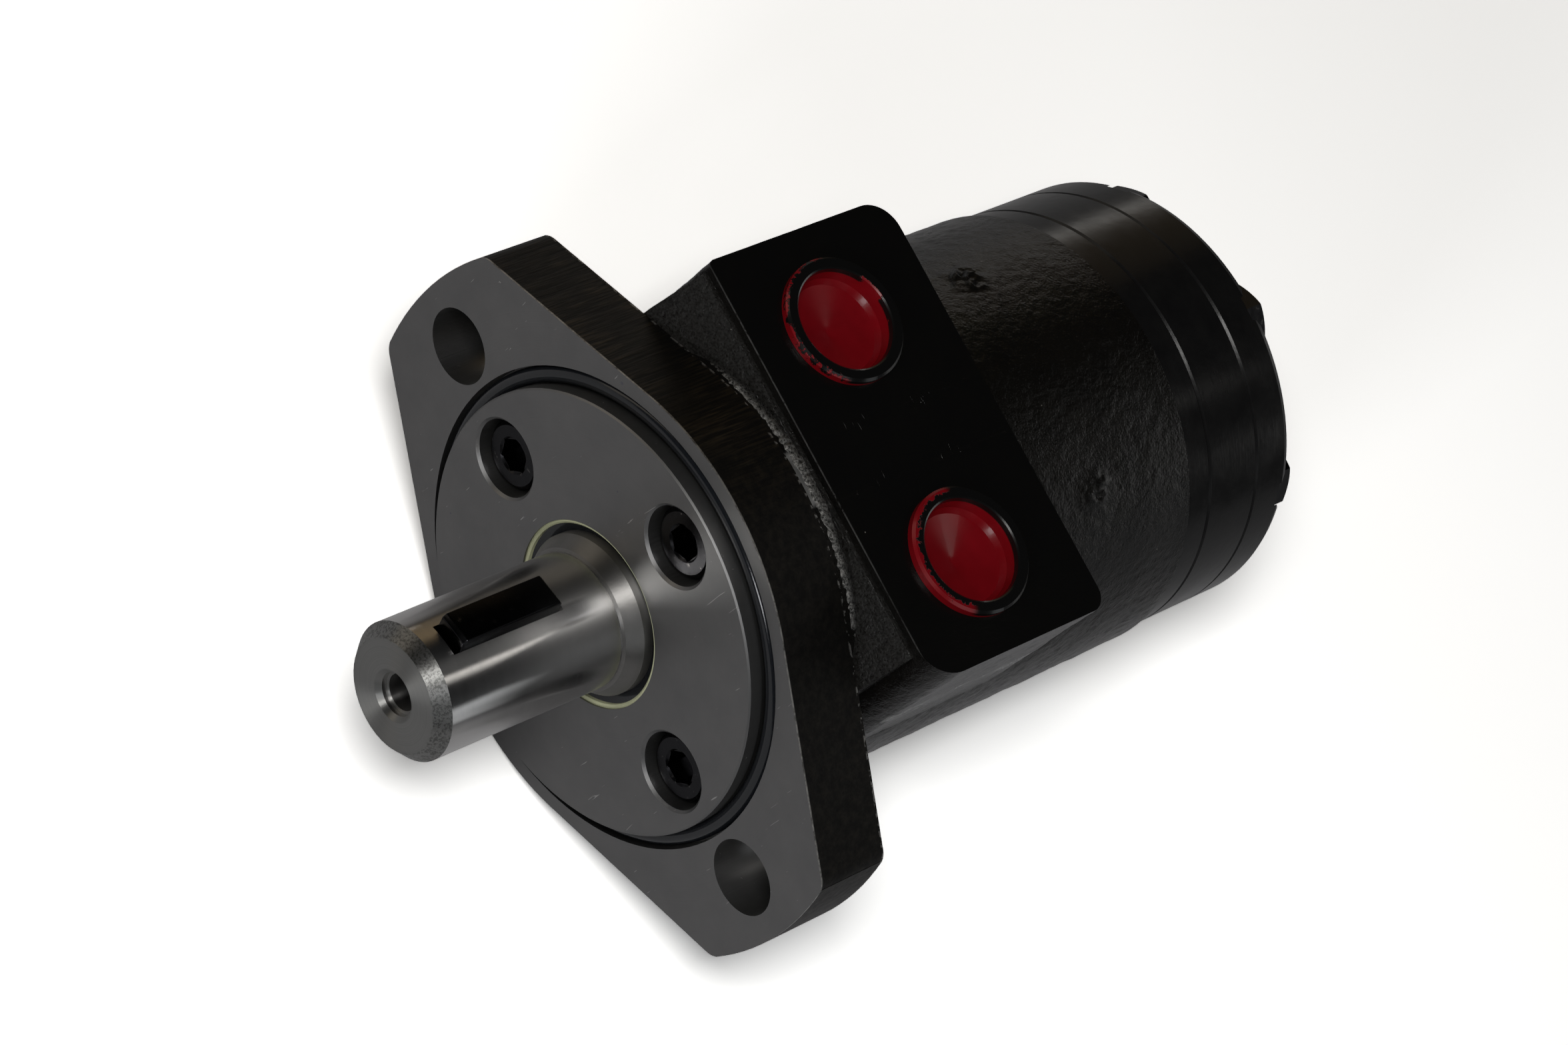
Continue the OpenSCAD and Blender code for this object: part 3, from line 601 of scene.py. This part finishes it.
def cast_height(place):
    """How far the cast skin stands out at a place: rolling unevenness, coarse sand and two blemishes."""
    rolling = 0.16 * MM * noise.noise(place / (11 * MM))
    sand = 0.06 * MM * noise.noise(place / (3 * MM)) + 0.09 * MM * noise.noise(place / (1.4 * MM))
    torn = 1.0 + 2.2 * noise.noise(place / (1.6 * MM))
    blemishes = sum(height * torn * lump(place, angle, y, size) for angle, y, size, height in BLEMISHES)
    return rolling + sand + blemishes


def mesh_of(node):
    """The CAD mesh of a node as a bmesh, with its points merged."""
    mesh = bmesh.new()
    mesh.from_mesh(NODES[node].data)
    bmesh.ops.remove_doubles(mesh, verts=mesh.verts, dist=MERGE)
    return mesh


def divide_cast_faces(mesh):
    """Cuts the faces of material index 1 until none of their edges is long."""
    for _ in range(9):
        wide = [f for f in mesh.faces if len(f.verts) > 3]
        bmesh.ops.triangulate(mesh, faces=wide, quad_method="SHORT_EDGE")
        rough = [e for e in mesh.edges if any(f.material_index for f in e.link_faces)]
        long_edges = [e for e in rough if e.calc_length() > LONGEST_EDGE]
        if not long_edges:
            break
        bmesh.ops.subdivide_edges(mesh, edges=long_edges, cuts=1)
    bmesh.ops.triangulate(mesh, faces=[f for f in mesh.faces if len(f.verts) > 3])
    mesh.normal_update()


def onto_round(place):
    """A point near the round body or the rim, moved onto its true radius."""
    radius = math.hypot(place.x, place.z)
    for true_r in (BODY_R, RIM_R):
        if abs(radius - true_r) < 0.06 * MM:
            scale = true_r / radius
            return Vector((place.x * scale, place.y, place.z * scale))
    return place


def raise_cast_skin(mesh):
    """Moves each point inside the faces of material index 1 outward, by less near machined planes."""
    moves = {}
    for vert in mesh.verts:
        if all(f.material_index for f in vert.link_faces):
            place = onto_round(vert.co)
            edge = min(PAD_TOP - place.z, HOUSING_HIGH.y - place.y, place.y - HOUSING_LOW.y) / FADE_OUT
            moves[vert] = place + vert.normal * cast_height(place) * min(1.0, edge)
    for vert, place in moves.items():
        vert.co = place


def cast_housing(material):
    """The housing with a real sand-cast skin: its cast faces are divided and moved, the rest stays."""
    mesh = mesh_of("housing")
    for face in mesh.faces:
        face.material_index = 1 if is_cast(face) else 0
    divide_cast_faces(mesh)
    raise_cast_skin(mesh)
    for face in mesh.faces:
        face.smooth = True
    mesh.normal_update()
    for edge in mesh.edges:
        kinds = {f.material_index for f in edge.link_faces}
        edge.smooth = len(kinds) == 1 and edge.calc_face_angle(0) < math.radians(CAST_BREAK)
    for face in mesh.faces:
        face.material_index = 0
    piece = new_piece("housing_casting", mesh, "motor_body", material)
    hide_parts("housing")


BEAD_FIRST = 47           # degrees from +x towards +z where the bead starts
BEAD_LAST = 131           # and where it ends
BEAD_STEPS = 300
BEAD_SIDES = 12
BEAD_END_R = 0.3 * MM     # its radius at both ends
BEAD_SWELL = 1.3 * MM     # added to that along its middle
BEAD_DEPTH = 1.3 * MM     # how far its ends lie inside the edge of the rim
BEAD_RISE = 0.1 * MM      # how much nearer to the edge its middle lies


def bead_point(t, around):
    """A point of the bead: t goes from 0 to 1 along it, around is the angle about its middle line."""
    angle = math.radians(BEAD_FIRST + (BEAD_LAST - BEAD_FIRST) * t)
    out = Vector((math.cos(angle), 0, math.sin(angle)))
    full = min(1, 6 * t, 6 * (1 - t)) ** 0.5
    thick = BEAD_END_R + BEAD_SWELL * full
    deep = BEAD_DEPTH - BEAD_RISE * full
    away = out * math.cos(around) + Vector((0, 1, 0)) * math.sin(around)
    place = out * (RIM_R - deep) + Vector((0, RIM_END - deep, 0)) + away * thick
    return place + away * thick * 0.24 * noise.noise(place / (0.9 * MM))


def rim_grain(material):
    """A grainy bead of bare iron along the rear edge of the rim, on the port side, thinner at its ends."""
    mesh = bmesh.new()
    rings = []
    for i in range(BEAD_STEPS + 1):
        turns = [2 * math.pi * k / BEAD_SIDES for k in range(BEAD_SIDES)]
        rings.append([mesh.verts.new(bead_point(i / BEAD_STEPS, around)) for around in turns])
    for a, b in zip(rings, rings[1:]):
        for k in range(BEAD_SIDES):
            after = (k + 1) % BEAD_SIDES
            mesh.faces.new((a[k], a[after], b[after], b[k]))
    mesh.faces.new(rings[0][::-1])
    mesh.faces.new(rings[-1])
    bmesh.ops.recalc_face_normals(mesh, faces=mesh.faces)
    for face in mesh.faces:
        face.smooth = True
    new_piece("rim_grain", mesh, "motor_body", material)


def worn_key(material):
    """The key with rounded edges."""
    mesh = mesh_of("shaft_key")
    bmesh.ops.dissolve_limit(mesh, angle_limit=math.radians(1), verts=mesh.verts, edges=mesh.edges)
    sharp = [e for e in mesh.edges if e.calc_face_angle(0) > math.radians(25)]
    bmesh.ops.bevel(mesh, geom=sharp, offset=0.22 * MM, segments=3, affect="EDGES", profile=0.5)
    for face in mesh.faces:
        face.smooth = True
    for edge in mesh.edges:
        edge.smooth = edge.calc_face_angle(0) < math.radians(KEY_BREAK)
    piece = new_piece("rounded_key", mesh, "shaft", material)
    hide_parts("shaft_key")


add_camera()
add_lights()
add_world()
add_floor()
MATERIALS = paint_nodes()
cast_housing(MATERIALS["housing_paint"])
rim_grain(bare_grain_and_glints())
worn_key(MATERIALS["black_steel"])
